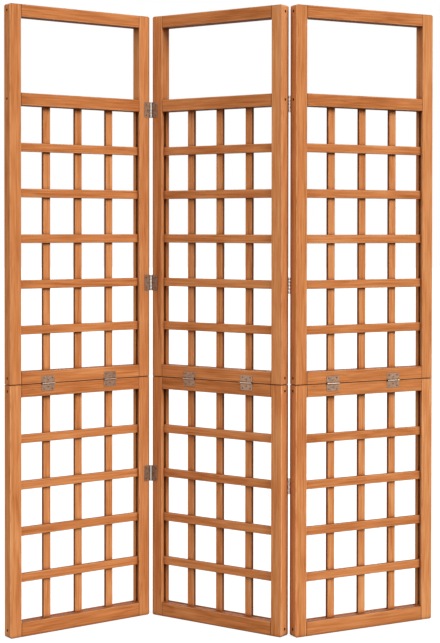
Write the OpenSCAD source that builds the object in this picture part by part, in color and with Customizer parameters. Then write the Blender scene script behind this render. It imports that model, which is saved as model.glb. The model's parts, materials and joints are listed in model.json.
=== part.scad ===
// Folding trellis screen in stained wood: three hinged leaves that stand in a zig-zag on the floor.
// Each leaf has an upper section, an open window over a lattice, hinged at a level seam to a lower lattice section.
// The origin is the middle of the footprint on the floor, x to the right, y away from the viewer, z up.
// In a leaf's own frame x runs along its width, y from its front face to its back, and z up from the floor.

/* [Leaf] */
// Height of the whole screen
screen_h = 1800; // [1600:10:2000]
// Width of one leaf
leaf_w = 466; // [420:1:540]
// Height of the lower section, from the floor to the seam
lower_h = 719.5; // [640:0.5:800]
// Height of the open window at the top of a leaf
window_h = 214.5; // [160:0.5:260]
// Gap between the lower and the upper section
seam_gap = 0.8; // [0.4:0.1:2]

/* [Stance] */
// Turn of the left leaf from the line of the screen, in degrees
left_turn = 37; // [20:0.2:45]
// Turn of the mid leaf the other way, in degrees
mid_turn = 34; // [20:0.2:45]
// Turn of the right leaf, in degrees
right_turn = 28.4; // [20:0.2:45]

/* [Frame timber] */
// Face width of the stiles and rails
frame_w = 36; // [32:0.5:42]
// Height of the bottom rail, on the floor
bottom_rail_h = 41; // [34:0.5:46]
// Thickness of the stiles and rails, front to back
frame_t = 36; // [34:0.5:44]
// Radius of the eased edges
edge_r = 2; // [1:0.25:4]

/* [Lattice] */
// Face width of a level slat
slat_w = 25; // [18:0.5:30]
// Face width of an upright slat
upright_w = 23.5; // [18:0.5:30]
// Thickness of a slat
slat_t = 11; // [8:0.5:12]
// Radius of the slats' eased edges
slat_edge_r = 2; // [0.5:0.25:3]
// Depth of the level slats behind the front face
slat_recess = 9.5; // [5:0.5:10]
// Upright slats across a leaf
slat_columns = 3; // [2:1:4]
// Level slats in an upper section
upper_rows = 5; // [3:1:6]
// Level slats in a lower section
lower_rows = 4; // [2:1:5]
// Extra height of the lowest opening
lower_slack = 6; // [0:0.5:12]
// Length of a slat's end inside its groove
housing = 8; // [5:0.5:9]

/* [Hinges] */
// Length of a leaf hinge along its pin
leaf_hinge_l = 46.5; // [40:0.5:60]
// Length of a seam hinge along its pin
seam_hinge_l = 41; // [36:0.5:60]
// Width of a hinge leaf from the pin's axis
hinge_leaf_w = 22; // [18:0.5:26]
// Thickness of a hinge leaf
plate_t = 1; // [0.8:0.1:1.5]
// Outer radius of the knuckles
knuckle_r = 2.75; // [2.5:0.05:3.5]
// Radius of the hinge pins
pin_r = 1.5; // [1:0.05:1.75]
// Distance of a seam hinge's middle from the leaf's edge
seam_hinge_inset = 130; // [100:1:170]
// Shift of both seam hinges, to the left on the outer leaves and to the right on the mid one
seam_hinge_shift = 9; // [0:0.5:15]
// Distance of the top leaf hinge below the top
top_hinge_drop = 280; // [220:1:320]
// Distance of the middle leaf hinge above the seam
middle_hinge_rise = 282; // [220:1:320]
// Distance of the lower leaf hinge below the seam
lower_hinge_drop = 292; // [220:1:320]

/* [Screws] */
// Radius of a frame screw's head
frame_head_r = 4; // [3:0.1:5]
// Radius of a frame screw's shank
frame_shank_r = 2.5; // [2:0.1:3]
// Length of a frame screw's shank
frame_shank_l = 62; // [50:1:75]
// Depth of the counterbore over a frame screw
counterbore = 9; // [6:0.5:14]
// Radius of a hinge screw's head
hinge_head_r = 2.6; // [2:0.1:3]
// Radius of a hinge screw's shank
hinge_shank_r = 1.5; // [1:0.1:1.75]
// Depth of a hinge screw in the wood
hinge_shank_l = 12; // [8:0.5:13]

/* [Hidden] */
$fn = 48;
LEFT = 0;
MID = 1;
RIGHT = 2;
LEAVES = ["left", "mid", "right"];
SIDES = [0, 1];
UPPER_PIECES = ["left_stile", "right_stile", "top_rail", "window_rail", "bottom_rail", "upright_slats",
                "level_slats", "frame_screws", "hinge_leaves", "hinge_screws"];
LOWER_PIECES = ["left_stile", "right_stile", "top_rail", "bottom_rail", "upright_slats",
                "level_slats", "frame_screws", "hinge_leaves", "hinge_screws"];

// Extra length of every cut
overrun = 1;
// Room between a slat and its groove, and below a slat's end
slat_play = 0.2;
groove_spare = 2;
// Room round the screws and the hinge pins
screw_play = 0.1;
pin_play = 0.1;
// Room between the knuckles and the wood behind them, and between a passing knuckle and the stile's edge
knuckle_clear = 0.25;
pass_clear = 0.5;
// Room between the knuckles of one hinge, wider where an upper hinge has to part when a section folds by itself
knuckle_slack = 0.4;
open_slack = 1.1;
// Room between a plate and the other plate's knuckles
plate_clear = 0.8;
plate_corner_r = 3;
knuckle_count = 5;
// Length of a pin beyond the knuckles
pin_end = 0.8;
frame_head_h = 3;
hinge_head_h = 0.9;
// Places of a plate's screws, as shares of its width and length
plate_screw_shares = [[0.72, -0.33], [0.46, 0], [0.72, 0.33]];
// Gap between the mid and the right leaf when they are flat
right_gap = 1;

// Colours of the stained wood and the steel
STILE_COLOUR = "#b8743c";
RAIL_COLOUR = "#b06a35";
SLAT_COLOUR = "#c07c44";
HINGE_COLOUR = "#8f867a";
SCREW_COLOUR = "#6e675f";

// Levels
seam_z = lower_h + seam_gap / 2;
upper_z = lower_h + seam_gap;
window_rail_z = screen_h - 2 * frame_w - window_h;
groove_depth = housing + groove_spare;
upright_y = slat_recess + slat_t;
column_opening = (leaf_w - 2 * frame_w - slat_columns * upright_w) / (slat_columns + 1);

// Hinge sizes that follow from the others
axis_offset = knuckle_r + knuckle_clear;
left_gap = 2 * (knuckle_r + pass_clear);
relief = knuckle_r + plate_clear;

// The two sections of a leaf
function section_bottom(upper) = upper ? upper_z : 0;
function section_top(upper) = upper ? screen_h : lower_h;
function rail_levels(upper) = upper ? [screen_h - frame_w, window_rail_z, upper_z] : [lower_h - frame_w, 0];
function rail_h(upper, level) = !upper && level == 0 ? bottom_rail_h : frame_w;
function lattice_bottom(upper) = section_bottom(upper) + rail_h(upper, section_bottom(upper));
function lattice_top(upper) = upper ? window_rail_z : lower_h - frame_w;
function lattice_h(upper) = lattice_top(upper) - lattice_bottom(upper);
function row_count(upper) = upper ? upper_rows : lower_rows;
function row_slack(upper) = upper ? 0 : lower_slack;
function row_opening(upper) =
    (lattice_h(upper) - row_slack(upper) - row_count(upper) * slat_w) / (row_count(upper) + 1);
function row_z(upper, row) = lattice_top(upper) - (row + 1) * (row_opening(upper) + slat_w);
function column_x(column) = frame_w + column_opening + column * (column_opening + upright_w);
function leaf_hinge_levels(upper) =
    upper ? [screen_h - top_hinge_drop, seam_z + middle_hinge_rise] : [seam_z - lower_hinge_drop];

// Knuckles along a hinge
function knuckle_h(length, slack) = (length - (knuckle_count - 1) * slack) / knuckle_count;
function knuckle_z(index, length, slack) = index * (knuckle_h(length, slack) + slack) - length / 2;

// Plan of the three leaves, worked out from the left pair's pivot, then moved to the middle of the footprint
leaf_turns = [left_turn, -mid_turn, right_turn];
function along(leaf) = [cos(leaf_turns[leaf]), sin(leaf_turns[leaf])];
function across(leaf) = [-sin(leaf_turns[leaf]), cos(leaf_turns[leaf])];
left_corner = across(LEFT) * axis_offset - along(LEFT) * (leaf_w + left_gap / 2);
mid_corner = across(MID) * axis_offset + along(MID) * left_gap / 2;
right_pivot = mid_corner + along(MID) * (leaf_w + right_gap / 2) + across(MID) * (frame_t + axis_offset);
right_corner = right_pivot + along(RIGHT) * right_gap / 2 - across(RIGHT) * (frame_t + axis_offset);
leaf_corners = [left_corner, mid_corner, right_corner];
edge_centres = [
    for (leaf = [LEFT, MID, RIGHT], x = [edge_r, leaf_w - edge_r], y = [edge_r, frame_t - edge_r])
        leaf_corners[leaf] + along(leaf) * x + across(leaf) * y
];
edge_xs = [for (centre = edge_centres) centre.x];
edge_ys = [for (centre = edge_centres) centre.y];
plan_middle = [min(edge_xs) + max(edge_xs), min(edge_ys) + max(edge_ys)] / 2;

// Places the children in a leaf's own frame
module in_leaf(leaf) {
    place = leaf_corners[leaf] - plan_middle;
    translate([place.x, place.y, 0]) rotate([0, 0, leaf_turns[leaf]]) children();
}

// Rectangle with round corners, from the origin
module rounded_rect(w, h, r) {
    translate([r, 0]) square([w - 2 * r, h]);
    translate([0, r]) square([w, h - 2 * r]);
    for (x = [r, w - r], y = [r, h - r]) translate([x, y]) circle(r);
}

// Bar along x with eased long edges and square ends
module level_bar(length, depth, height, r) {
    rotate([90, 0, 90]) linear_extrude(length) rounded_rect(depth, height, r);
}

// Block with all its edges eased
module eased_block(size, r) {
    intersection() {
        linear_extrude(size.z) rounded_rect(size.x, size.y, r);
        level_bar(size.x, size.y, size.z, r);
        translate([0, size.y, 0]) rotate([90, 0, 0]) linear_extrude(size.y) rounded_rect(size.x, size.z, r);
    }
}

// Places the children at each frame screw of a section: at the stile's outer edge, turned so that z runs inwards
module at_frame_screws(upper, levels) {
    for (level = levels, side = SIDES) {
        translate([side * leaf_w, frame_t / 2, level + rail_h(upper, level) / 2])
            rotate([0, side == 0 ? 90 : -90, 0]) children();
    }
}

module frame_screw_hole() {
    translate([0, 0, -overrun]) cylinder(r = frame_head_r + screw_play, h = counterbore + overrun);
    cylinder(r = frame_shank_r + screw_play, h = counterbore + frame_shank_l + screw_play);
}

module frame_screw() {
    translate([0, 0, counterbore - frame_head_h]) cylinder(r = frame_head_r, h = frame_head_h);
    translate([0, 0, counterbore]) cylinder(r = frame_shank_r, h = frame_shank_l);
}

// Places the children on the pivots of the leaf hinges along one stile: z on the pin, x from it over the plate, and
// the wood's face at y = axis_offset. The left pair of leaves is hinged on the front, the right pair on the back.
module at_leaf_hinges(leaf, upper, side) {
    for (z = leaf_hinge_levels(upper)) {
        if (leaf == LEFT && side == 1)
            translate([leaf_w + left_gap / 2, -axis_offset, z]) mirror([1, 0, 0]) children();
        if (leaf == MID && side == 0)
            translate([-left_gap / 2, -axis_offset, z]) children();
        if (leaf == MID && side == 1)
            translate([leaf_w + right_gap / 2, frame_t + axis_offset, z]) rotate([0, 0, 180]) children();
        if (leaf == RIGHT && side == 0)
            translate([-right_gap / 2, frame_t + axis_offset, z]) mirror([0, 1, 0]) children();
    }
}

// Places the children on the pivots of the two seam hinges, in the same frame as a leaf hinge
module at_seam_hinges(leaf, upper) {
    shift = leaf == MID ? seam_hinge_shift : -seam_hinge_shift;
    for (x = [seam_hinge_inset, leaf_w - seam_hinge_inset]) {
        translate([x + shift, -axis_offset, seam_z]) rotate([0, 90, 0]) mirror([upper ? 1 : 0, 0, 0]) children();
    }
}

// Places the children at the screws of a hinge plate: on the wood's face, turned so that z runs into the wood
module at_plate_screws(length) {
    for (share = plate_screw_shares) {
        translate([share.x * hinge_leaf_w, axis_offset, share.y * length]) rotate([-90, 0, 0]) children();
    }
}

module hinge_screw_hole(length) {
    at_plate_screws(length) translate([0, 0, -plate_t - overrun])
        cylinder(r = hinge_shank_r + screw_play, h = plate_t + overrun + hinge_shank_l + screw_play);
}

// Domed head on the plate, with its shank in the wood
module hinge_screw(length) {
    dome_r = (hinge_head_r * hinge_head_r + hinge_head_h * hinge_head_h) / (2 * hinge_head_h);
    at_plate_screws(length) {
        translate([0, 0, -plate_t]) intersection() {
            translate([0, 0, dome_r - hinge_head_h]) sphere(dome_r);
            translate([0, 0, -hinge_head_h]) cylinder(r = hinge_head_r, h = hinge_head_h);
        }
        translate([0, 0, -plate_t]) cylinder(r = hinge_shank_r, h = plate_t + hinge_shank_l);
    }
}

// Plate and knuckles of one hinge leaf; first is the index of its first knuckle, and every second one is its own
module hinge_leaf(first, length, slack) {
    barrel_h = knuckle_h(length, slack);
    far_x = hinge_leaf_w - plate_corner_r;
    difference() {
        union() {
            translate([0, axis_offset, 0]) rotate([90, 0, 0]) linear_extrude(plate_t) {
                translate([relief, -length / 2]) square([far_x - relief, length]);
                translate([relief, plate_corner_r - length / 2])
                    square([hinge_leaf_w - relief, length - 2 * plate_corner_r]);
                for (end = [-1, 1]) translate([far_x, end * (length / 2 - plate_corner_r)]) circle(plate_corner_r);
                for (index = [first : 2 : knuckle_count - 1])
                    translate([0, knuckle_z(index, length, slack)]) square([2 * relief, barrel_h]);
            }
            for (index = [first : 2 : knuckle_count - 1])
                translate([0, 0, knuckle_z(index, length, slack)]) cylinder(r = knuckle_r, h = barrel_h);
        }
        translate([0, 0, -length]) cylinder(r = pin_r + pin_play, h = 2 * length);
        hinge_screw_hole(length);
    }
}

// Pin through all the knuckles of a hinge
module hinge_pin(length) {
    translate([0, 0, -length / 2 - pin_end]) cylinder(r = pin_r, h = length + 2 * pin_end);
}

// Pin of an upper leaf hinge, left out where it would pass the other leaf's knuckles
module parted_hinge_pin() {
    for (index = [0 : 2 : knuckle_count - 1]) {
        low_end = index == 0 ? pin_end : 0;
        high_end = index == knuckle_count - 1 ? pin_end : 0;
        translate([0, 0, knuckle_z(index, leaf_hinge_l, open_slack) - low_end])
            cylinder(r = pin_r, h = knuckle_h(leaf_hinge_l, open_slack) + low_end + high_end);
    }
}

// Stile with the groove for the level slats, which stops at the rails
module stile(leaf, upper, side) {
    height = section_top(upper) - section_bottom(upper);
    groove_l = leaf_w - 2 * frame_w + 2 * groove_depth;
    color(STILE_COLOUR) difference() {
        translate([side * (leaf_w - frame_w), 0, section_bottom(upper)])
            eased_block([frame_w, frame_t, height], edge_r);
        translate([frame_w - groove_depth, slat_recess - slat_play, lattice_bottom(upper)])
            cube([groove_l, slat_t + 2 * slat_play, lattice_h(upper)]);
        at_frame_screws(upper, rail_levels(upper)) frame_screw_hole();
        at_leaf_hinges(leaf, upper, side) hinge_screw_hole(leaf_hinge_l);
    }
}

// Rail between the stiles, with the groove for the upright slats where it borders the lattice
module rail(leaf, upper, level) {
    groove_h = lattice_h(upper) + 2 * groove_depth;
    color(RAIL_COLOUR) difference() {
        translate([frame_w, 0, level]) level_bar(leaf_w - 2 * frame_w, frame_t, rail_h(upper, level), edge_r);
        translate([frame_w - overrun, upright_y - slat_play, lattice_bottom(upper) - groove_depth])
            cube([leaf_w - 2 * frame_w + 2 * overrun, slat_t + 2 * slat_play, groove_h]);
        at_frame_screws(upper, [level]) frame_screw_hole();
        at_seam_hinges(leaf, upper) hinge_screw_hole(seam_hinge_l);
    }
}

// Upright slats, with their ends in the rails' grooves
module upright_slats(upper) {
    color(SLAT_COLOUR) for (column = [0 : slat_columns - 1]) {
        translate([column_x(column), upright_y, lattice_bottom(upper) - housing])
            linear_extrude(lattice_h(upper) + 2 * housing) rounded_rect(upright_w, slat_t, slat_edge_r);
    }
}

// Level slats across the front of the uprights, with their ends in the stiles' grooves
module level_slats(upper) {
    color(SLAT_COLOUR) for (row = [0 : row_count(upper) - 1]) {
        translate([frame_w - housing, slat_recess, row_z(upper, row)])
            level_bar(leaf_w - 2 * frame_w + 2 * housing, slat_t, slat_w, slat_edge_r);
    }
}

module frame_screws(upper) {
    color(SCREW_COLOUR) at_frame_screws(upper, rail_levels(upper)) frame_screw();
}

// Hinge leaves of one section: the mid leaf and the lower sections have the outer knuckles
module hinge_leaves(leaf, upper) {
    color(HINGE_COLOUR) {
        for (side = SIDES)
            at_leaf_hinges(leaf, upper, side)
                hinge_leaf(leaf == MID ? 0 : 1, leaf_hinge_l, upper ? open_slack : knuckle_slack);
        at_seam_hinges(leaf, upper) hinge_leaf(upper ? 1 : 0, seam_hinge_l, knuckle_slack);
    }
}

module hinge_screws(leaf, upper) {
    color(SCREW_COLOUR) {
        for (side = SIDES) at_leaf_hinges(leaf, upper, side) hinge_screw(leaf_hinge_l);
        at_seam_hinges(leaf, upper) hinge_screw(seam_hinge_l);
    }
}

// Pins of the mid leaf's seam hinges and of the upper leaf hinges
module mid_upper_hinge_pins() {
    color(HINGE_COLOUR) {
        at_seam_hinges(MID, true) hinge_pin(seam_hinge_l);
        for (side = SIDES) at_leaf_hinges(MID, true, side) parted_hinge_pin();
    }
}

// Pins of an outer leaf's seam hinges and of its lower leaf hinge
module lower_hinge_pins(leaf) {
    color(HINGE_COLOUR) {
        at_seam_hinges(leaf, false) hinge_pin(seam_hinge_l);
        for (side = SIDES) at_leaf_hinges(leaf, false, side) hinge_pin(leaf_hinge_l);
    }
}

module piece(leaf, upper, name) {
    levels = rail_levels(upper);
    in_leaf(leaf) {
        if (name == "left_stile") stile(leaf, upper, 0);
        if (name == "right_stile") stile(leaf, upper, 1);
        if (name == "top_rail") rail(leaf, upper, levels[0]);
        if (name == "window_rail") rail(leaf, upper, levels[1]);
        if (name == "bottom_rail") rail(leaf, upper, section_bottom(upper));
        if (name == "upright_slats") upright_slats(upper);
        if (name == "level_slats") level_slats(upper);
        if (name == "frame_screws") frame_screws(upper);
        if (name == "hinge_leaves") hinge_leaves(leaf, upper);
        if (name == "hinge_screws") hinge_screws(leaf, upper);
    }
}

for (leaf = [LEFT, MID, RIGHT]) {
    for (name = UPPER_PIECES)
        piece(leaf, true, name);
    for (name = LOWER_PIECES)
        piece(leaf, false, name);
}
in_leaf(MID) mid_upper_hinge_pins();
in_leaf(LEFT) lower_hinge_pins(LEFT);  // left_lower_hinge_pins
in_leaf(RIGHT) lower_hinge_pins(RIGHT);  // right_lower_hinge_pins
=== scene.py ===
"""Dresses the folding trellis screen: boards of stained wood, woven slats, steel hinges and their screws."""
import json
import math
import random
from typing import NamedTuple

import bmesh
import bpy
from mathutils import Euler, Matrix, Vector


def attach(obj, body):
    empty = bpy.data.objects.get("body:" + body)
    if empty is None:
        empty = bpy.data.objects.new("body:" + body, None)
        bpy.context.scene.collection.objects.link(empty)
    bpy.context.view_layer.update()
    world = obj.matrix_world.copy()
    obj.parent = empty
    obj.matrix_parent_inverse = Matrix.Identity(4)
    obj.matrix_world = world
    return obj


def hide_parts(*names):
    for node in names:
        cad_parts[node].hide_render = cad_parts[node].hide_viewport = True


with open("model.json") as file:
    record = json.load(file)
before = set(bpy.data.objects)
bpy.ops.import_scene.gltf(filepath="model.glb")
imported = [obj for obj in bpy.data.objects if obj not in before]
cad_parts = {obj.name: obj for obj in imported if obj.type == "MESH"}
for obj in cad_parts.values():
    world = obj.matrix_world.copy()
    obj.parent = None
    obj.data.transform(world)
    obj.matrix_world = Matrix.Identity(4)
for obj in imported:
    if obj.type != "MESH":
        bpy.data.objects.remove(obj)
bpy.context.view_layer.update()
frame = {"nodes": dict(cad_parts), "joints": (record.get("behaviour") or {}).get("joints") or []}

# Units, turns and the axes of a leaf's own place
MM = 0.001
QUARTER_TURN = math.pi / 2
ALONG = 0
DEPTH = 1

# Leaves and their sections
LEAVES = ("left", "mid", "right")
SECTIONS = ("upper", "lower")
MERGE_DISTANCE = 0.01 * MM

# Outer corner at each stile's free end
CORNER_RADIUS = 6 * MM
CORNER_STEPS = 5
CORNER_CUT_TOLERANCE = 0.001 * MM

# Slats, with the axes along and across those of each direction, and their turn from the x axis
SLAT_EDGE_RADIUS = 2 * MM
SLAT_EDGE_STEPS = 5
SLAT_SEED_STEP = 10
SLAT_ALONG = {"level": Vector((1, 0, 0)), "upright": Vector((0, 0, 1))}
SLAT_ACROSS = {"level": Vector((0, 0, 1)), "upright": Vector((1, 0, 0))}
SLAT_TURN = {"level": (0, 0, 0), "upright": (0, -QUARTER_TURN, 0)}

# Boards as they were cut from the trunk
BOARD_SEED = 11
TRUNK_LENGTH = 9
PITH_NEAR = 30 * MM
PITH_FAR = 110 * MM
PITH_LEAN = 0.05
RING_PITCH = 4.2 * MM
SWAY_REACH = 10 * MM

# Factors that draw separate chances from one cut or seed
CUT_TO_LEAN = 3.7
SEED_TO_TURN = 37
SEED_TO_TONE = 71

# Noises of the grain: changes per metre along each axis, layers of detail and strength of the finer layers
SWAY_NOISE = ((2.2, 14, 14), 2.0, 0.5)
RING_PATCH_NOISE = ((1.5, 22, 22), 1.0, 0.5)
STREAK_NOISE = ((8, 230, 230), 2.0, 0.5)
FIBRE_NOISE = ((9, 620, 620), 4.0, 0.6)
BLOTCH_NOISE = ((6, 34, 34), 3.0, 0.55)
PORE_NOISE = ((45, 1900, 1900), 2.0, 0.5)
MARK_NOISE = ((15, 190, 190), 1.0, 0.5)
WEAR_HIGHLIGHT_PATCH_NOISE = ((18, 60, 60), 2.0, 0.5)

# Darkness over the width of a growth ring, and where the noises turn into pores, marks and patches of wear
# with painted highlight
RING_DARKNESS = ((0.0, 0.1), (0.55, 0.28), (0.86, 1.0), (1.0, 0.1))
PORE_DARKNESS = ((0.28, 1.0), (0.42, 0.0))
MARK_RISE = (0.70, 0.80)
WEAR_HIGHLIGHT_PATCH_RISE = (0.30, 0.62)

# Tone of the wood, from 0 dark to 1 light, and how far each figure of the grain changes it
BASE_TONE = 0.62
RING_TONE = 0.34
STREAK_TONE = 0.95
FIBRE_TONE = 0.55
BLOTCH_TONE = 0.8
PORE_TONE = 0.08
TONE_SPREAD = 0.1
KIND_TONE = {"stile": 0.0, "rail": -0.2, "level": -0.12, "upright": 0.0}

# Wear with painted highlight, darker sides, end stain and painted shade: distances from an edge at which each
# is full and gone, and its share of the colour
WEAR_HIGHLIGHT_FADE = (0.4 * MM, 3.6 * MM)
WEAR_HIGHLIGHT_SHARE = 0.7
SIDE_DARK_FADE = (0.1 * MM, 1.5 * MM)
SIDE_DARK_SHARE = {"stile": 0.0, "rail": 0.85, "level": 0.85, "upright": 0.85}
END_STAIN_FADE = (0, 3 * MM)
END_STAIN_SHARE = 0.8
PAINTED_SHADE_START = 0.3 * MM
GAP_SHADE_WIDTH = 6 * MM
SEAM_SHADE_WIDTH = 2.5 * MM
FOOT_SHADE_WIDTH = 5 * MM
PAINTED_SHADE_SHARE = 0.65
MARK_SHARE = 0.55

# Painted shade in crevices: how far around a place is looked at, and the open part of it at which the painted
# shade is full and gone
CREVICE_SHADE_REACH = 14 * MM
CREVICE_SHADE_SAMPLES = 6
CREVICE_SHADE_FADE = (0.22, 0.95)
CREVICE_SHADE_SHARE = 0.9

# Colours of the wood
WOOD_DARK = (0.34, 0.098, 0.023)
WOOD_MIDDLE = (0.55, 0.199, 0.063)
WOOD_LIGHT = (0.69, 0.326, 0.133)
# Pale edges: partly real wear, partly painted highlight where the eased edges catch the light
WOOD_WORN_HIGHLIGHT = (0.76, 0.375, 0.185)
# Dark for the sides and ends of boards, and for painted shade along gaps, seams and the foot
WOOD_DEEP_STAIN_AND_SHADE = (0.17, 0.050, 0.014)
# Painted shade in crevices
WOOD_CREVICE_SHADE = (0.17, 0.038, 0.004)
WOOD_MARK = (0.24, 0.055, 0.014)

# Surface of the wood
WOOD_SHINE = 0.05
WOOD_ROUGHNESS = 0.56
FIBRE_ROUGHNESS = 0.16
FIBRE_RELIEF = 0.6
RING_RELIEF = 0.5
PORE_RELIEF = 0.5
WOOD_BUMP_STRENGTH = 0.35
WOOD_BUMP_DEPTH = 0.3 * MM

# Steel, dull and stained
STEEL_STAIN_NOISE = ((160, 160, 160), 4.0, 0.6)
STEEL_STAIN_SHARE = 0.7
BRUSHING_NOISE = ((900, 900, 5200), 2.0, 0.5)
BRUSHING_SHARE = 0.3
STEEL_DARK_LEVEL = 0.32
STEEL_LIGHT_LEVEL = 0.66
STEEL_METALLIC = 0.9
STEEL_ROUGHNESS = 0.46
STEEL_ROUGHNESS_SPREAD = 0.3
STEEL_BUMP_STRENGTH = 0.12
STEEL_BUMP_DEPTH = 0.1 * MM

# Hinge plates, and how near they are drawn to the axis that the other plate's knuckles turn about
PLATE_DARK = (0.19, 0.112, 0.072)
PLATE_LIGHT = (0.34, 0.215, 0.145)
PLATE_THICKNESS = 1 * MM
SLOT_REACH = 3.55 * MM
SLOT_TOLERANCE = 0.05 * MM
FITTED_REACH = 2 * MM
SMOOTH_ANGLE = math.radians(30)

# Knuckles: painted shade where they leave the plates, reach of a barrel from its axis, and painted highlight
# lines along them, made smoother
KNUCKLE_SHADE = (0.055, 0.034, 0.024)
KNUCKLE_SHADE_RISE = (0.1 * MM, 0.4 * MM)
BARREL_FADE = (3 * MM, 3.2 * MM)
# Painted highlight lines: on the seam hinges' barrels, on the front of the valley barrels, and near-white
# over the whole ridge barrels
SEAM_HIGHLIGHT = (0.40, 0.28, 0.21)
SEAM_HIGHLIGHT_RISE = (3.7 * MM, 4.5 * MM)
VALLEY_HIGHLIGHT = (0.58, 0.52, 0.46)
VALLEY_HIGHLIGHT_RISE = (1.6 * MM, 2.5 * MM)
RIDGE_HIGHLIGHT = (0.93, 0.91, 0.88)
HIGHLIGHT_SMOOTHNESS = 0.1

# Screws, with the dome of a head as shares of its radius and of its height below the top
SCREW_SIDES = 24
HEAD_DOME_SHARES = ((1.0, 0.7), (0.93, 0.35), (0.75, 0.105), (0.4, 0.0))
RECESS_LENGTH_SHARE = 1.25
RECESS_WIDTH_SHARE = 0.26
RECESS_DEPTH_SHARE = 0.55
RECESS_FOOT_SHARE = 0.6

# Camera, as the photograph was taken
CAMERA_PLACE = (0.1307, -4.4390, 1.1667)
CAMERA_YAW = math.radians(-0.131)
CAMERA_PITCH = math.radians(0.829)
CAMERA_ROLL = math.radians(0.074)
CAMERA_LENS = 84.975
CAMERA_SENSOR = 36
CAMERA_SHIFT = (-0.0696, -0.1114)

# Light
WHITE = (1, 1, 1)
WORLD_LIGHT = 0.38
KEY_STRENGTH = 3.1
KEY_TURN = (math.radians(60), 0, math.radians(45))
KEY_SOFTNESS = math.radians(35)
FILL_STRENGTH = 1.55
FILL_TURN = (math.radians(62), 0, math.radians(-60))
FILL_SOFTNESS = math.radians(60)
BACK_STRENGTH = 2.7
BACK_TURN = (math.radians(60), 0, math.radians(165))
BACK_SOFTNESS = math.radians(60)

# Floor: its colour for the light that it throws back, and the paler one that is seen
FLOOR_SIZE = 80
FLOOR_DULL = (0.14, 0.135, 0.13)
FLOOR_PALE = (0.3, 0.3, 0.3)
FLOOR_GLOW = 0.75


class ScrewKind(NamedTuple):
    """A kind of screw, named as its nodes are, with the axis of the leaf that it lies along."""

    name: str
    axis: int
    head_radius: float
    head_height: float
    shank_radius: float
    spin_seed: int
    dark: tuple
    light: tuple


HINGE_SCREW = ScrewKind(
    name="hinge_screw", axis=DEPTH, head_radius=2.6 * MM, head_height=0.9 * MM, shank_radius=1.5 * MM,
    spin_seed=3, dark=(0.09, 0.050, 0.030), light=(0.22, 0.140, 0.095))
FRAME_SCREW = ScrewKind(
    name="frame_screw", axis=ALONG, head_radius=4 * MM, head_height=3 * MM, shank_radius=2.5 * MM,
    spin_seed=5, dark=(0.26, 0.080, 0.018), light=(0.42, 0.150, 0.045))


def opaque(colour):
    return (*colour, 1)


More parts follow.
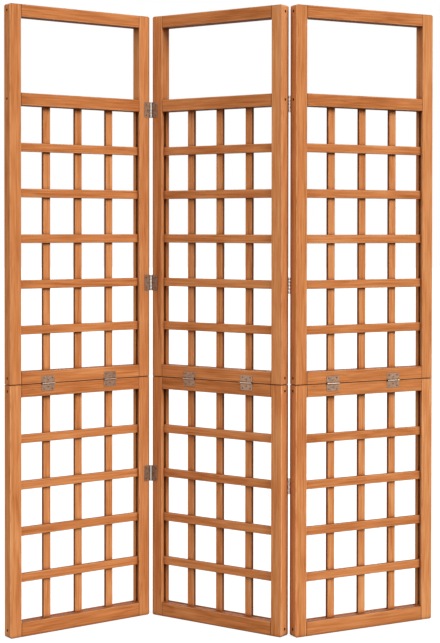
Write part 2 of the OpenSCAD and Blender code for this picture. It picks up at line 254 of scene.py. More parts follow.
class Nodes:
    """A node tree, with short ways to add nodes and to join them."""

    COLOUR_MIX_INPUTS = (0, 6, 7)
    COLOUR_MIX_OUTPUT = 2

    def __init__(self, tree):
        self.tree = tree

    def add(self, kind, inputs=None, **settings):
        """New node, with its settings made before its inputs are filled."""
        node = self.tree.nodes.new(kind)
        for name, value in settings.items():
            setattr(node, name, value)
        self.fill(node, inputs or {})
        return node

    def fill(self, node, inputs):
        """Joins values or outputs to a node's inputs, by their names or numbers."""
        for key, value in inputs.items():
            self.join(value, node.inputs[key])

    def join(self, value, socket):
        """Links an output to a socket, or sets a plain value there."""
        if isinstance(value, bpy.types.NodeSocket):
            self.tree.links.new(value, socket)
        else:
            socket.default_value = value

    def output(self, kind, inputs=None, **settings):
        """First output of a new node."""
        return self.add(kind, inputs, **settings).outputs[0]

    def math(self, operation, first, second=0.0, clamp=False):
        return self.output("ShaderNodeMath", {0: first, 1: second}, operation=operation, use_clamp=clamp)

    def plus(self, first, second):
        return self.math("ADD", first, second)

    def minus(self, first, second):
        return self.math("SUBTRACT", first, second)

    def times(self, first, second):
        return self.math("MULTIPLY", first, second)

    def vector(self, operation, first, second=(0, 0, 0)):
        return self.output("ShaderNodeVectorMath", {0: first, 1: second}, operation=operation)

    def parts(self, vector):
        """The x, y and z of a vector."""
        return self.add("ShaderNodeSeparateXYZ", {0: vector}).outputs

    def whole(self, x=0.0, y=0.0, z=0.0):
        """The vector of an x, y and z."""
        return self.output("ShaderNodeCombineXYZ", {0: x, 1: y, 2: z})

    def object_place(self):
        return self.add("ShaderNodeTexCoord").outputs["Object"]

    def place_from(self, origin, turn):
        """Place on the object, measured from an origin along axes that are turned there."""
        inputs = {"Vector": self.object_place(), "Location": origin, "Rotation": turn}
        return self.output("ShaderNodeMapping", inputs, vector_type="TEXTURE")

    def attribute(self, name, kind):
        return self.add("ShaderNodeAttribute", attribute_name=name).outputs[kind]

    def noise(self, place, scale, detail, roughness):
        """Noise from 0 to 1, with a scale for each axis."""
        stretched = self.vector("MULTIPLY", place, scale)
        return self.output("ShaderNodeTexNoise", {
            "Vector": stretched, "Scale": 1.0, "Detail": detail, "Roughness": roughness})

    def swing(self, place, scale, detail, roughness):
        """The same noise, as far below zero as above it."""
        return self.minus(self.noise(place, scale, detail, roughness), 0.5)

    def ramp(self, value, stops):
        """Colour at a value, between stops of a position and a colour."""
        node = self.add("ShaderNodeValToRGB", {"Fac": value})
        elements = node.color_ramp.elements
        while len(elements) < len(stops):
            elements.new(0.5)
        for element, (position, colour) in zip(elements, stops):
            element.position = position
            element.color = opaque(colour)
        return node.outputs[0]

    def levels(self, value, stops):
        """Number at a value, between stops of a position and a number."""
        return self.ramp(value, [(position, (number,) * 3) for position, number in stops])

    def rise(self, value, low, high):
        """Smooth rise from 0 at low to 1 at high."""
        return self.output("ShaderNodeMapRange", {"Value": value, "From Min": low, "From Max": high},
                           interpolation_type="SMOOTHSTEP")

    def fade(self, value, full, gone):
        """Smooth fall from 1 at full to 0 at gone."""
        return self.minus(1.0, self.rise(value, full, gone))

    def around(self, value, middle, full, gone):
        """The same fall to both sides of a middle."""
        return self.fade(self.math("ABSOLUTE", self.minus(value, middle)), full, gone)

    def blend(self, share, first, second):
        """Colour that has this share of the second colour in the first."""
        node = self.add("ShaderNodeMix", data_type="RGBA")
        for index, value in zip(self.COLOUR_MIX_INPUTS, (share, first, second)):
            self.join(opaque(value) if isinstance(value, tuple) else value, node.inputs[index])
        return node.outputs[self.COLOUR_MIX_OUTPUT]

    def seen(self):
        """1 for what the camera sees, also in gloss and through glass, and 0 for other light."""
        path = self.add("ShaderNodeLightPath").outputs
        mirrored = self.math("MAXIMUM", path["Is Glossy Ray"], path["Is Transmission Ray"])
        return self.math("MAXIMUM", path["Is Camera Ray"], mirrored)


def new_tree(name, kind, inputs, outputs):
    """Node tree with these sockets, each with the last word of its type."""
    tree = bpy.data.node_groups.new(name, kind)
    for side, sockets in (("INPUT", inputs), ("OUTPUT", outputs)):
        for label, word in sockets.items():
            tree.interface.new_socket(label, in_out=side, socket_type="NodeSocket" + word)
    return tree


def new_material(name):
    """New material, and the nodes of its tree."""
    material = bpy.data.materials.new(name)
    material.use_nodes = True
    return material, Nodes(material.node_tree)


# Places in the frame


def leaf_of(node):
    return node.split("_")[0]


def body_of(node):
    return "_".join(node.split("_")[:2])


def joint_of(name):
    return next(joint for joint in frame["joints"] if joint["name"] == name)


def leaf_matrix(leaf):
    """Place of a leaf: x along it from its middle, y into its depth from the seam hinges' axis, z up."""
    fold = joint_of(leaf + "_fold")
    turn = math.atan2(fold["axis"][1], fold["axis"][0])
    foot = Vector((fold["pos_m"][0], fold["pos_m"][1], 0))
    return Matrix.Translation(foot) @ Matrix.Rotation(turn, 4, "Z")


LEAF_MATRIX = {leaf: leaf_matrix(leaf) for leaf in LEAVES}
LEAF_TURN = {leaf: matrix.to_euler().z for leaf, matrix in LEAF_MATRIX.items()}

# Hinge axes in the valley between the left and mid leaf, and on the ridge between the mid and right leaf
VALLEY_AXIS = Vector(joint_of("left_swing")["pos_m"])
RIDGE_AXIS = Vector(joint_of("right_swing")["pos_m"])


def box_of(points):
    lowest = Vector([min(point[axis] for point in points) for axis in range(3)])
    highest = Vector([max(point[axis] for point in points) for axis in range(3)])
    return lowest, highest


def leaf_solids(node):
    """Merged copy of a CAD node's mesh, in its leaf's own place."""
    solids = bmesh.new()
    solids.from_mesh(frame["nodes"][node].data)
    bmesh.ops.remove_doubles(solids, verts=solids.verts, dist=MERGE_DISTANCE)
    solids.transform(LEAF_MATRIX[leaf_of(node)].inverted())
    return solids


def solid_boxes(node):
    """Box of each solid of a CAD node, in its leaf's own place."""
    solids = leaf_solids(node)
    reached = set()
    boxes = []
    for start in solids.verts:
        if start in reached:
            continue
        reached.add(start)
        front = [start]
        members = []
        while front:
            vertex = front.pop()
            members.append(vertex.co.copy())
            for edge in vertex.link_edges:
                other = edge.other_vert(vertex)
                if other not in reached:
                    reached.add(other)
                    front.append(other)
        boxes.append(box_of(members))
    solids.free()
    return boxes


# Half way through a leaf's thickness, from the seam hinges' axis, and half of the thickness
frame_low, frame_high = solid_boxes("left_upper_top_rail")[0]
FRAME_MIDDLE = (frame_low.y + frame_high.y) / 2
FRAME_HALF = (frame_high.y - frame_low.y) / 2


# Meshes and pieces


def new_object(name, data):
    made = bpy.data.objects.new(name, data)
    bpy.context.scene.collection.objects.link(made)
    return made


def settled(solid, name):
    """Plain mesh of a bmesh, with all faces in its first material; the bmesh is freed."""
    for face in solid.faces:
        face.material_index = 0
    mesh = bpy.data.meshes.new(name)
    solid.to_mesh(mesh)
    solid.free()
    return mesh


def finished_mesh(source, name):
    """Plain mesh of what an object's modifiers make; the object itself is removed."""
    graph = bpy.context.evaluated_depsgraph_get()
    mesh = bpy.data.meshes.new_from_object(source.evaluated_get(graph))
    bpy.data.objects.remove(source)
    mesh.name = name
    return mesh


def grown(name, tree, values, base=None):
    """Mesh that a Geometry Nodes tree makes, with its inputs set by their names on the tree."""
    source = new_object(name + "_source", base or bpy.data.meshes.new(name + "_source"))
    modifier = source.modifiers.new("growth", "NODES")
    modifier.node_group = tree
    for item in tree.interface.items_tree:
        if item.in_out == "INPUT" and item.name in values:
            modifier[item.identifier] = values[item.name]
    return finished_mesh(source, name)


def dress(mesh, material):
    """Gives a mesh this material alone."""
    mesh.materials.clear()
    mesh.materials.append(material)


def seat(mesh, node):
    """Puts a mesh made in a leaf's own place into the scene, where it stands for a CAD node."""
    mesh.transform(LEAF_MATRIX[leaf_of(node)])
    piece = new_object(mesh.name, mesh)
    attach(piece, body_of(node))
    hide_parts(node)


# Stained wood


def trunk_place(nodes, place, cut):
    """Place in the tree that a board was cut from, whose heart leans a little against the board."""
    along = nodes.parts(place)[0]
    chance = nodes.math("FRACT", nodes.times(nodes.parts(cut)[0], CUT_TO_LEAN))
    lean = nodes.times(nodes.minus(chance, 0.5), PITH_LEAN)
    leaning = nodes.whole(y=nodes.times(along, lean))
    return nodes.vector("ADD", nodes.vector("ADD", place, cut), leaning)


def growth_rings(nodes, trunk):
    """Dark late wood of each year's ring, clearer in some patches than in others."""
    sway = nodes.times(nodes.swing(trunk, *SWAY_NOISE), SWAY_REACH)
    _, across, through = nodes.parts(trunk)
    squares = nodes.plus(nodes.math("POWER", across, 2.0), nodes.math("POWER", through, 2.0))
    from_pith = nodes.math("SQRT", squares)
    ring = nodes.math("FRACT", nodes.math("DIVIDE", nodes.plus(from_pith, sway), RING_PITCH))
    return nodes.times(nodes.levels(ring, RING_DARKNESS), nodes.noise(trunk, *RING_PATCH_NOISE))


def stained_colour(nodes, trunk, rings, fibre, pores, tone):
    """Colour of the stain on the grain, with a few dark marks."""
    light = nodes.minus(BASE_TONE, nodes.times(rings, RING_TONE))
    light = nodes.plus(light, nodes.times(nodes.swing(trunk, *STREAK_NOISE), STREAK_TONE))
    light = nodes.plus(light, nodes.times(nodes.minus(fibre, 0.5), FIBRE_TONE))
    light = nodes.plus(light, nodes.times(nodes.swing(trunk, *BLOTCH_NOISE), BLOTCH_TONE))
    light = nodes.minus(light, nodes.times(pores, PORE_TONE))
    light = nodes.math("ADD", light, tone, clamp=True)
    colour = nodes.ramp(light, ((0.0, WOOD_DARK), (0.5, WOOD_MIDDLE), (1.0, WOOD_LIGHT)))
    marks = nodes.rise(nodes.noise(trunk, *MARK_NOISE), *MARK_RISE)
    return nodes.blend(nodes.times(marks, MARK_SHARE), colour, WOOD_MARK)


def worn_and_shaded_colour(nodes, colour, board):
    """Edges paler with wear and painted highlight, darker sides, ends that took more stain, painted shade
    along one side and in crevices.
    """
    distances = nodes.vector("SUBTRACT", board["Half"], nodes.vector("ABSOLUTE", board["Place"]))
    to_end, to_face, to_side = nodes.parts(distances)
    # Paler edges, partly real wear and partly painted highlight
    worn_highlight = nodes.fade(nodes.math("MAXIMUM", to_face, to_side), *WEAR_HIGHLIGHT_FADE)
    patches = nodes.rise(nodes.noise(board["Place"], *WEAR_HIGHLIGHT_PATCH_NOISE), *WEAR_HIGHLIGHT_PATCH_RISE)
    colour = nodes.blend(nodes.times(worn_highlight, nodes.times(patches, WEAR_HIGHLIGHT_SHARE)), colour, WOOD_WORN_HIGHLIGHT)

    side_dark = nodes.fade(to_side, *SIDE_DARK_FADE)
    colour = nodes.blend(nodes.times(side_dark, board["Side Stain"]), colour, WOOD_DEEP_STAIN_AND_SHADE)
    # Painted shade along one side: at the gap between leaves, at the seam and at the foot
    towards_shade = nodes.times(nodes.parts(board["Place"])[2], board["Grime Side"])
    to_shade = nodes.minus(nodes.parts(board["Half"])[2], towards_shade)
    edge_shade = nodes.fade(to_shade, PAINTED_SHADE_START, board["Grime Width"])
    colour = nodes.blend(nodes.times(edge_shade, PAINTED_SHADE_SHARE), colour, WOOD_DEEP_STAIN_AND_SHADE)
    end = nodes.fade(to_end, *END_STAIN_FADE)
    colour = nodes.blend(nodes.times(end, END_STAIN_SHARE), colour, WOOD_DEEP_STAIN_AND_SHADE)

    # Painted shade in crevices, darker where less of the surroundings is open
    around = nodes.add("ShaderNodeAmbientOcclusion", {"Distance": CREVICE_SHADE_REACH}, samples=CREVICE_SHADE_SAMPLES)
    crevice_shade = nodes.fade(around.outputs["AO"], *CREVICE_SHADE_FADE)
    return nodes.blend(nodes.times(crevice_shade, CREVICE_SHADE_SHARE), colour, WOOD_CREVICE_SHADE)


def stained_grain_group():
    """Stained wood of a board with its grain along x, from its place, sizes, cut, tone, side darkening and
    painted shade.
    """
    group = new_tree("stained_grain", "ShaderNodeTree", {
        "Place": "Vector", "Half": "Vector", "Cut": "Vector", "Tone": "Float", "Side Stain": "Float",
        "Grime Side": "Float", "Grime Width": "Float"},
        {"Colour": "Color", "Roughness": "Float", "Relief": "Float"})
    nodes = Nodes(group)
    board = nodes.add("NodeGroupInput").outputs
    trunk = trunk_place(nodes, board["Place"], board["Cut"])
    rings = growth_rings(nodes, trunk)
    fibre = nodes.noise(trunk, *FIBRE_NOISE)
    pores = nodes.levels(nodes.noise(trunk, *PORE_NOISE), PORE_DARKNESS)
    colour = stained_colour(nodes, trunk, rings, fibre, pores, board["Tone"])
    colour = worn_and_shaded_colour(nodes, colour, board)
    roughness = nodes.plus(WOOD_ROUGHNESS, nodes.times(nodes.minus(1.0, fibre), FIBRE_ROUGHNESS))
    relief = nodes.minus(nodes.times(fibre, FIBRE_RELIEF), nodes.times(rings, RING_RELIEF))
    relief = nodes.minus(relief, nodes.times(pores, PORE_RELIEF))
    nodes.add("NodeGroupOutput", {"Colour": colour, "Roughness": roughness, "Relief": relief})
    return group


STAINED_GRAIN = stained_grain_group()


def wood_material(name):
    """Satin stained wood, the nodes of its tree, and the group whose inputs say what board it is."""
    material, nodes = new_material(name)
    board = nodes.add("ShaderNodeGroup", node_tree=STAINED_GRAIN)
    bump = nodes.output("ShaderNodeBump", {
        "Height": board.outputs["Relief"], "Strength": WOOD_BUMP_STRENGTH, "Distance": WOOD_BUMP_DEPTH})
    nodes.fill(material.node_tree.nodes["Principled BSDF"], {
        "Base Color": board.outputs["Colour"], "Roughness": board.outputs["Roughness"], "Normal": bump,
        "Specular IOR Level": WOOD_SHINE})
    return material, nodes, board


def pith_offset(draw):
    """Where a board was cut, from the heart of its tree."""
    angle = draw.uniform(0, 2 * math.pi)
    distance = draw.uniform(PITH_NEAR, PITH_FAR)
    height = draw.uniform(0, TRUNK_LENGTH)
    return Vector((height, distance * math.cos(angle), distance * math.sin(angle)))


def shaded_side_of(node):
    """Side of a board along its own z that gets painted shade, as -1, 1 or 0 for none, and how far in the
    painted shade reaches.
    """
    if node.startswith("left") and node.endswith("right_stile"):
        return -1, GAP_SHADE_WIDTH
    if node.startswith("mid") and node.endswith("left_stile"):
        return 1, GAP_SHADE_WIDTH
    if node.endswith("upper_bottom_rail"):
        return -1, SEAM_SHADE_WIDTH
    if node.endswith("lower_top_rail"):
        return 1, SEAM_SHADE_WIDTH
    if node.endswith("lower_bottom_rail"):
        return -1, FOOT_SHADE_WIDTH
    return 0, SEAM_SHADE_WIDTH


def rounded_stile(node):
    """Mesh of a stile whose outer corner is rounded at the end away from the seam."""
    solid = leaf_solids(node)
    lowest, highest = box_of([vertex.co for vertex in solid.verts])
    out = -1 if node.endswith("left_stile") else 1
    up = 1 if "_upper_" in node else -1
    side = lowest.x if out < 0 else highest.x
    end = lowest.z if up < 0 else highest.z

    # The corner is cut into strips, and their edges are then drawn in to an arc
    for step in range(CORNER_STEPS):
        back = CORNER_RADIUS * (1 - math.tan(QUARTER_TURN / 2 * step / CORNER_STEPS))
        cuts = {(1, 0, 0): (side - out * back, 0, 0), (0, 0, 1): (0, 0, end - up * back)}
        for normal, place in cuts.items():
            every = [*solid.verts, *solid.edges, *solid.faces]
            bmesh.ops.bisect_plane(
                solid, geom=every, dist=CORNER_CUT_TOLERANCE, plane_co=place, plane_no=normal)
    for vertex in solid.verts:
        outward = CORNER_RADIUS - out * (side - vertex.co.x)
        endward = CORNER_RADIUS - up * (end - vertex.co.z)
        if outward > 0 and endward > 0:
            shrink = max(outward, endward) / math.hypot(outward, endward)
            vertex.co.x += out * outward * (shrink - 1)
            vertex.co.z += up * endward * (shrink - 1)
    return settled(solid, node + "_rounded")


def dress_boards():
    """Gives each stile and rail its own cut of wood, with the grain along it."""
    draw = random.Random(BOARD_SEED)
    for node in sorted(frame["nodes"]):
        if not node.endswith(("stile", "rail")):
            continue
        leaf = leaf_of(node)
        kind = node.split("_")[-1]
        lowest, highest = solid_boxes(node)[0]
        centre = LEAF_MATRIX[leaf] @ ((lowest + highest) / 2)
        half = (highest - lowest) / 2
        turn = (0, 0, LEAF_TURN[leaf])
        if kind == "stile":
            half = half.zyx
            turn = (0, -QUARTER_TURN, LEAF_TURN[leaf])
        cut = pith_offset(draw)
        tone = KIND_TONE[kind] + draw.uniform(-1, 1) * TONE_SPREAD
        shade_side, shade_width = shaded_side_of(node)
        wood, nodes, board = wood_material("wood_" + node)
        nodes.fill(board, {
            "Place": nodes.place_from(centre, turn), "Half": half, "Cut": cut, "Tone": tone,
            "Side Stain": SIDE_DARK_SHARE[kind], "Grime Side": shade_side, "Grime Width": shade_width})
        if kind == "stile":
            mesh = rounded_stile(node)
            dress(mesh, wood)
            seat(mesh, node)
        else:
            dress(frame["nodes"][node].data, wood)


# Lattice


def slat_wood(direction):
    """Wood of one direction's slats, each of which carries its own place, half sizes and seed."""
    wood, nodes, board = wood_material(f"wood_{direction}_slats")
    seed = nodes.attribute("slat_seed", "Fac")
    turn = nodes.times(seed, SEED_TO_TURN)
    far = nodes.plus(PITH_NEAR, nodes.times(nodes.math("FRACT", turn), PITH_FAR - PITH_NEAR))
    height = nodes.times(seed, TRUNK_LENGTH)
    across = nodes.times(far, nodes.math("COSINE", turn))
    through = nodes.times(far, nodes.math("SINE", turn))
    chance = nodes.minus(nodes.math("FRACT", nodes.times(seed, SEED_TO_TONE)), 0.5)
    nodes.fill(board, {
        "Place": nodes.attribute("slat_place", "Vector"), "Half": nodes.attribute("slat_half", "Vector"),
        "Cut": nodes.whole(height, across, through),
        "Tone": nodes.plus(KIND_TONE[direction], nodes.times(chance, 2 * TONE_SPREAD)),
        "Side Stain": SIDE_DARK_SHARE[direction], "Grime Side": 0, "Grime Width": SEAM_SHADE_WIDTH})
    return wood


def stored(nodes, geometry, name, value, kind, domain):
    """Geometry with a value kept on it under a name that materials can read."""
    inputs = {"Geometry": geometry, "Name": name, "Value": value}
    return nodes.output("GeometryNodeStoreNamedAttribute", inputs, data_type=kind, domain=domain)


def chance_of(nodes, seed):
    """A number from 0 to 1 for each instance, by chance."""
    node = nodes.add("FunctionNodeRandomValue", {"Seed": seed}, data_type="FLOAT")
    return next(socket for socket in node.outputs if socket.enabled)


def end_tree(nodes, instances, material):
    """Ends a tree with its instances made real and in one material."""
    real = nodes.output("GeometryNodeRealizeInstances", {"Geometry": instances})
    dressed = nodes.output("GeometryNodeSetMaterial", {"Geometry": real, "Material": material})
    nodes.add("NodeGroupOutput", {"Geometry": dressed})


def slat_row_tree():
    """Row of equal slats with eased edges, made along x and turned, each with a seed for its grain."""
    tree = new_tree("slat_row", "GeometryNodeTree", {
        "Length": "Float", "Face": "Float", "Thickness": "Float", "Edge Radius": "Float", "Edge Steps": "Int",
        "Count": "Int", "First": "Vector", "Step": "Vector", "Turn": "Vector", "Seed": "Int",
        "Material": "Material"}, {"Geometry": "Geometry"})
    nodes = Nodes(tree)
    entry = nodes.add("NodeGroupInput").outputs
    half_length = nodes.times(entry["Length"], 0.5)
    half_thickness = nodes.times(entry["Thickness"], 0.5)
    half_face = nodes.times(entry["Face"], 0.5)
    start = nodes.whole(nodes.times(half_length, -1.0))
    line = nodes.output("GeometryNodeCurvePrimitiveLine", {"Start": start, "End": nodes.whole(half_length)})
    section = nodes.output("GeometryNodeCurvePrimitiveQuadrilateral", {
        "Width": entry["Thickness"], "Height": entry["Face"]})
    eased = nodes.output("GeometryNodeFilletCurve", {
        "Curve": section, "Radius": entry["Edge Radius"], "Count": entry["Edge Steps"]}, mode="POLY")
    slat = nodes.output("GeometryNodeCurveToMesh", {"Curve": line, "Profile Curve": eased, "Fill Caps": True})
    slat = nodes.output("GeometryNodeSetShadeSmooth", {"Geometry": slat, "Shade Smooth": False})
    place = nodes.output("GeometryNodeInputPosition")
    slat = stored(nodes, slat, "slat_place", place, "FLOAT_VECTOR", "POINT")
    half = nodes.whole(half_length, half_thickness, half_face)
    slat = stored(nodes, slat, "slat_half", half, "FLOAT_VECTOR", "POINT")
    row = nodes.output("GeometryNodeMeshLine", {
        "Count": entry["Count"], "Start Location": entry["First"], "Offset": entry["Step"]})
    slats = nodes.output("GeometryNodeInstanceOnPoints", {
        "Points": row, "Instance": slat, "Rotation": entry["Turn"]})
    slats = stored(nodes, slats, "slat_seed", chance_of(nodes, entry["Seed"]), "FLOAT", "INSTANCE")
    end_tree(nodes, slats, entry["Material"])
    return tree


def slat_row(tree, node, direction, boxes, seed, wood):
    """Mesh of a section's slats of one direction, from the boxes of their CAD solids."""
    lowest, highest = box_of([corner for box in boxes for corner in box])
    size = boxes[0][1] - boxes[0][0]
    across = SLAT_ACROSS[direction]
    face = size.dot(across)
    spread = (highest - lowest).dot(across) - face
    return grown(node + "_row", tree, {
        "Length": size.dot(SLAT_ALONG[direction]), "Face": face, "Thickness": size.y,
        "Edge Radius": SLAT_EDGE_RADIUS, "Edge Steps": SLAT_EDGE_STEPS, "Count": len(boxes),
        "First": (lowest + highest) / 2 - across * spread / 2, "Step": across * spread / (len(boxes) - 1),
        "Turn": SLAT_TURN[direction], "Seed": seed, "Material": wood})


def weave_lattices():
    """Makes the level and the upright slats of every section where their CAD solids are."""
    tree = slat_row_tree()
    woods = {direction: slat_wood(direction) for direction in SLAT_TURN}
    for number, leaf in enumerate(LEAVES):
        for section in SECTIONS:
            body = f"{leaf}_{section}"
            rows = len(solid_boxes(body + "_level_slats"))
            for direction, wood in woods.items():
                node = f"{body}_{direction}_slats"
                boxes = solid_boxes(node)
                seed = SLAT_SEED_STEP * number + rows + len(boxes)
                seat(slat_row(tree, node, direction, boxes, seed, wood), node)


# Steel


def highlighted_knuckles(nodes, leaf, colour, rough):
    """Colour and roughness with painted shade beside a leaf's knuckles, and smoother painted highlight lines
    along them.
    """
    leaf_place = nodes.place_from(LEAF_MATRIX[leaf].translation, (0, 0, LEAF_TURN[leaf]))
    along, depth, _ = nodes.parts(leaf_place)
    plate_face = FRAME_MIDDLE - (FRAME_HALF + PLATE_THICKNESS)
    past_plate = nodes.minus(plate_face, depth)
    # Painted shade on the knuckles past the plate face
    colour = nodes.blend(nodes.rise(past_plate, *KNUCKLE_SHADE_RISE), colour, KNUCKLE_SHADE)

    to_leaf = LEAF_MATRIX[leaf].inverted()
    # Painted highlight lines: along the seam barrels, on the front of the valley barrels, and near-white over
    # the whole ridge barrels
    at_valley = nodes.around(along, (to_leaf @ VALLEY_AXIS).x, *BARREL_FADE)
    at_ridge = nodes.around(along, (to_leaf @ RIDGE_AXIS).x, *BARREL_FADE)
    elsewhere = nodes.minus(1.0, at_valley)
    seam_line = nodes.times(nodes.rise(past_plate, *SEAM_HIGHLIGHT_RISE), elsewhere)
    towards_front = nodes.minus(VALLEY_AXIS.y, nodes.parts(nodes.object_place())[1])
    valley_line = nodes.times(nodes.rise(towards_front, *VALLEY_HIGHLIGHT_RISE), at_valley)
    lines = ((seam_line, SEAM_HIGHLIGHT), (valley_line, VALLEY_HIGHLIGHT), (at_ridge, RIDGE_HIGHLIGHT))
    for painted_line, bright in lines:
        colour = nodes.blend(painted_line, colour, bright)
        rough = nodes.minus(rough, nodes.times(painted_line, HIGHLIGHT_SMOOTHNESS))
    return colour, rough


def steel_material(name, dark, light, leaf=None):
    """Dull plated steel with fine brushing and stains; on a leaf's hinges the knuckles get painted shade and
    painted highlight lines.
    """
    material, nodes = new_material(name)
    place = nodes.object_place()
    stain = nodes.times(nodes.noise(place, *STEEL_STAIN_NOISE), STEEL_STAIN_SHARE)
    brushing = nodes.noise(place, *BRUSHING_NOISE)
    mixed = nodes.plus(stain, nodes.times(brushing, BRUSHING_SHARE))
    colour = nodes.ramp(mixed, ((STEEL_DARK_LEVEL, dark), (STEEL_LIGHT_LEVEL, light)))
    rough = nodes.plus(STEEL_ROUGHNESS, nodes.times(nodes.minus(mixed, 0.5), STEEL_ROUGHNESS_SPREAD))
    if leaf:
        colour, rough = highlighted_knuckles(nodes, leaf, colour, rough)
    bump = nodes.output("ShaderNodeBump", {
        "Height": brushing, "Strength": STEEL_BUMP_STRENGTH, "Distance": STEEL_BUMP_DEPTH})
    nodes.fill(material.node_tree.nodes["Principled BSDF"], {
        "Base Color": colour, "Roughness": rough, "Normal": bump, "Metallic": STEEL_METALLIC})
    return material


def fitted_plates(node):
    """Hinge leaves of a section with their plates drawn close to the knuckles that they turn round."""
    to_leaf = LEAF_MATRIX[leaf_of(node)].inverted()
    axes = [(to_leaf @ axis).x for axis in (VALLEY_AXIS, RIDGE_AXIS)]
    solid = leaf_solids(node)
    for vertex in solid.verts:
        for axis in axes:
            away = vertex.co.x - axis
            if abs(abs(away) - SLOT_REACH) < SLOT_TOLERANCE:
                vertex.co.x = axis + math.copysign(FITTED_REACH, away)
    for edge in solid.edges:
        edge.smooth = edge.calc_face_angle(0) < SMOOTH_ANGLE
    for face in solid.faces:
        face.smooth = True
    return settled(solid, node + "_fitted")


def dress_hinges():
    """Puts the fitted hinge leaves in, and gives them and the pins their leaf's steel."""
    for leaf in LEAVES:
        steel = steel_material("hinge_steel_" + leaf, PLATE_DARK, PLATE_LIGHT, leaf)
        for section in SECTIONS:
            node = f"{leaf}_{section}_hinge_leaves"
            mesh = fitted_plates(node)
            dress(mesh, steel)
            seat(mesh, node)
            pins = frame["nodes"].get(f"{leaf}_{section}_hinge_pins")
            if pins:
                dress(pins.data, steel)


# Screws


def turned_mesh(name, profile):
    """Closed solid turned about z from a profile of radius and height that starts and ends on the axis."""
    solid = bmesh.new()
    turns = [2 * math.pi * side / SCREW_SIDES for side in range(SCREW_SIDES)]
    rings = []
    for radius, height in profile:
        if radius == 0:
            rings.append([solid.verts.new((0, 0, height))])
        else:
            places = [(radius * math.cos(turn), radius * math.sin(turn), height) for turn in turns]
            rings.append([solid.verts.new(place) for place in places])
    for lower, upper in zip(rings, rings[1:]):
        for side in range(SCREW_SIDES):
            corners = [lower[side % len(lower)], lower[(side + 1) % len(lower)],
                       upper[(side + 1) % len(upper)], upper[side % len(upper)]]
            solid.faces.new(list(dict.fromkeys(corners)))
    bmesh.ops.recalc_face_normals(solid, faces=solid.faces)
    return settled(solid, name)


def cross_mesh(name, length, width, low, high):
    """Cutter for a cross recess, from low to high along z, narrower at its foot."""
    cutter = bmesh.new()
    for turn in (0, QUARTER_TURN):
        arm = bmesh.ops.create_cube(cutter, size=1)["verts"]
        for vertex in arm:
            at_foot = vertex.co.z < 0
            reach = RECESS_FOOT_SHARE if at_foot else 1.0
            height = low if at_foot else high
            vertex.co = Vector((vertex.co.x * length * reach, vertex.co.y * width * reach, height))
        bmesh.ops.rotate(cutter, verts=arm, matrix=Matrix.Rotation(turn, 3, "Z"))
    return settled(cutter, name)


def screw_object(kind):
    """Screw with its head's underside at z = 0, a domed head with a cross recess, and its shank below."""
    lowest, highest = solid_boxes(f"left_upper_{kind.name}s")[0]
    shank_length = (highest - lowest)[kind.axis] - kind.head_height
    dome = [(radius_share * kind.head_radius, kind.head_height - drop_share * kind.head_height)
            for radius_share, drop_share in HEAD_DOME_SHARES]
    profile = [(0, -shank_length), (kind.shank_radius, -shank_length), (kind.shank_radius, 0),
               (kind.head_radius, 0), *dome, (0, kind.head_height)]
    screw = new_object(kind.name, turned_mesh(kind.name, profile))
    depth = RECESS_DEPTH_SHARE * kind.head_height
    cutter_name = kind.name + "_cutter"
    cutter = new_object(cutter_name, cross_mesh(
        cutter_name, RECESS_LENGTH_SHARE * kind.head_radius, RECESS_WIDTH_SHARE * kind.head_radius,
        kind.head_height - depth, kind.head_height + depth))
    recess = screw.modifiers.new("recess", "BOOLEAN")
    recess.object = cutter
    recess.operation = "DIFFERENCE"
    recess.solver = "EXACT"
    recess.use_self = True
    mesh = finished_mesh(screw, kind.name)
    bpy.data.objects.remove(cutter)
    return new_object(kind.name, mesh)


def screw_group_tree():
    """One screw on each point, its head turned to one side and spun by chance about its own axis."""
    tree = new_tree("screw_group", "GeometryNodeTree", {
        "Points": "Geometry", "Screw": "Object", "Facing": "Vector", "Seed": "Int",
        "Material": "Material"}, {"Geometry": "Geometry"})
    nodes = Nodes(tree)
    entry = nodes.add("NodeGroupInput").outputs
    screw = nodes.add("GeometryNodeObjectInfo", {"Object": entry["Screw"]}).outputs["Geometry"]
    placed = nodes.output("GeometryNodeInstanceOnPoints", {
        "Points": entry["Points"], "Instance": screw, "Rotation": entry["Facing"]})
    spin = nodes.whole(z=nodes.times(chance_of(nodes, entry["Seed"]), math.pi))
    spun = nodes.output("GeometryNodeRotateInstances", {
        "Instances": placed, "Rotation": spin, "Local Space": True})
    end_tree(nodes, spun, entry["Material"])
    return tree


def head_places(node, kind):
    """Where the heads of a CAD node's screws start, on the leaf's low side, -1, and on its high side, 1."""
    middle = FRAME_MIDDLE if kind.axis == DEPTH else 0
    heads = {-1: [], 1: []}
    for lowest, highest in solid_boxes(node):
        place = (lowest + highest) / 2
        side = -1 if place[kind.axis] < middle else 1
        top = lowest if side < 0 else highest
        place[kind.axis] = top[kind.axis] - side * kind.head_height
        heads[side].append(place)
    return heads


def screw_set(tree, node, kind, screw, steel):
    """Mesh of all the screws of one kind in a section, with their heads outside."""
    whole = bmesh.new()
    for side, places in head_places(node, kind).items():
        if not places:
            continue
        points = bpy.data.meshes.new(node + "_places")
        points.from_pydata(places, [], [])
        facing = (-side * QUARTER_TURN, 0, 0) if kind.axis == DEPTH else (0, side * QUARTER_TURN, 0)
        whole.from_mesh(grown(node + "_side", tree, {
            "Screw": screw, "Facing": facing, "Seed": kind.spin_seed, "Material": steel}, points))
    mesh = settled(whole, node + "_set")
    dress(mesh, steel)
    return mesh


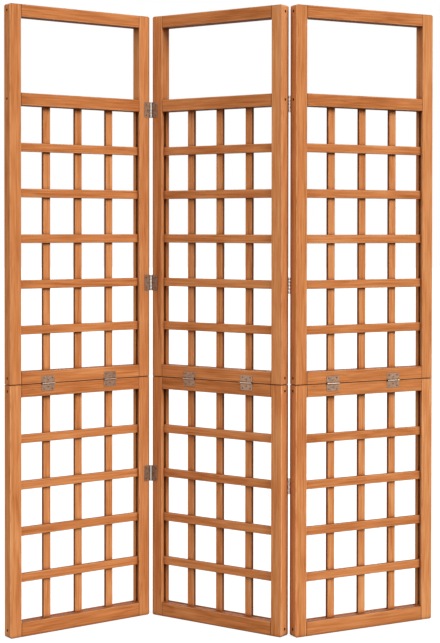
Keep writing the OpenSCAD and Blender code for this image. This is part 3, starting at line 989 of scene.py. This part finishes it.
def drive_screws():
    """Puts a screw with a cross recess in the place of every CAD screw."""
    tree = screw_group_tree()
    screws = {kind: screw_object(kind) for kind in (HINGE_SCREW, FRAME_SCREW)}
    steels = {kind: steel_material(kind.name + "_steel", kind.dark, kind.light) for kind in screws}
    for leaf in LEAVES:
        for section in SECTIONS:
            for kind, screw in screws.items():
                node = f"{leaf}_{section}_{kind.name}s"
                seat(screw_set(tree, node, kind, screw, steels[kind]), node)
    for screw in screws.values():
        bpy.data.objects.remove(screw)


# Stage


def studio_floor():
    """Pale floor that keeps the shadow and throws little light back up."""
    half = FLOOR_SIZE / 2
    mesh = bpy.data.meshes.new("floor")
    corners = [(-half, -half, 0), (half, -half, 0), (half, half, 0), (-half, half, 0)]
    mesh.from_pydata(corners, [], [(0, 1, 2, 3)])
    floor = new_object("floor", mesh)
    material, nodes = new_material("pale_floor")
    tree_nodes = material.node_tree.nodes
    tree_nodes.remove(tree_nodes["Principled BSDF"])
    dull = nodes.output("ShaderNodeBsdfDiffuse", {"Color": opaque(FLOOR_DULL)})
    pale = nodes.output("ShaderNodeBsdfDiffuse", {"Color": opaque(FLOOR_PALE)})
    glow = nodes.output("ShaderNodeEmission", {"Color": opaque(WHITE), "Strength": FLOOR_GLOW})
    white = nodes.output("ShaderNodeAddShader", {0: pale, 1: glow})
    chosen = nodes.output("ShaderNodeMixShader", {0: nodes.seen(), 1: dull, 2: white})
    nodes.fill(tree_nodes["Material Output"], {"Surface": chosen})
    dress(mesh, material)


def studio_world():
    """White surroundings for the camera and for gloss, and an even soft light for the rest."""
    world = bpy.data.worlds.new("studio")
    world.use_nodes = True
    nodes = Nodes(world.node_tree)
    strength = nodes.plus(WORLD_LIGHT, nodes.times(nodes.seen(), 1.0 - WORLD_LIGHT))
    nodes.fill(world.node_tree.nodes["Background"], {"Color": opaque(WHITE), "Strength": strength})
    bpy.context.scene.world = world


def studio_lamp(name, strength, turn, softness):
    """Soft lamp that shines the same everywhere."""
    lamp = bpy.data.lights.new(name, "SUN")
    lamp.energy = strength
    lamp.angle = softness
    new_object(name, lamp).rotation_euler = turn


def studio_camera():
    """Camera where the photograph was taken from, with its lens and framing."""
    camera = bpy.data.cameras.new("camera")
    camera.lens = CAMERA_LENS
    camera.sensor_width = CAMERA_SENSOR
    camera.shift_x, camera.shift_y = CAMERA_SHIFT
    made = new_object("camera", camera)
    level = Euler((QUARTER_TURN - CAMERA_PITCH, 0, -CAMERA_YAW)).to_matrix().to_4x4()
    made.matrix_world = Matrix.Translation(CAMERA_PLACE) @ level @ Matrix.Rotation(CAMERA_ROLL, 4, "Z")
    bpy.context.scene.camera = made


studio_camera()
studio_world()
studio_floor()
studio_lamp("key", KEY_STRENGTH, KEY_TURN, KEY_SOFTNESS)
studio_lamp("fill", FILL_STRENGTH, FILL_TURN, FILL_SOFTNESS)
studio_lamp("back", BACK_STRENGTH, BACK_TURN, BACK_SOFTNESS)
bpy.context.scene.view_settings.view_transform = "Standard"

dress_boards()
weave_lattices()
dress_hinges()
drive_screws()
